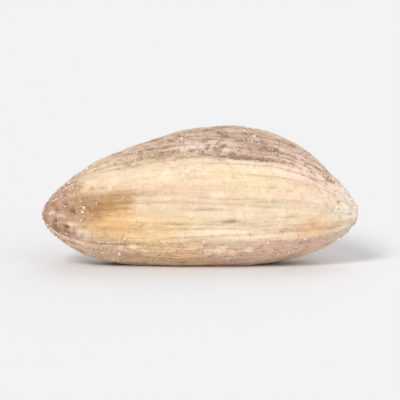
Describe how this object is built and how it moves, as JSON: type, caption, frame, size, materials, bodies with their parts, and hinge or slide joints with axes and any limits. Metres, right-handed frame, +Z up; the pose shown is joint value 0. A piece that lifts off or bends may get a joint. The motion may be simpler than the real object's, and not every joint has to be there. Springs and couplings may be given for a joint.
{
  "type": "roasted salted almond",
  "caption": "Shelled almond kernel with its furrowed roasted skin and a crust of dried salt, lying on a small flat spot.",
  "frame": {"origin": "the point of the resting plane under the middle of the almond's bounding box, within the flat spot that it rests on", "axes": "+X along the kernel from its pointed tip to its broad end, +Y away from the face that is turned to the camera, +Z up from the resting plane"},
  "size_m": [0.0258, 0.0118, 0.011],
  "materials": {
    "salted_skin": "matte roasted skin under a chalky film of dried salt"
  },
  "bodies": {
    "root": {"almond": "salted_skin"}
  },
  "joints": []
}
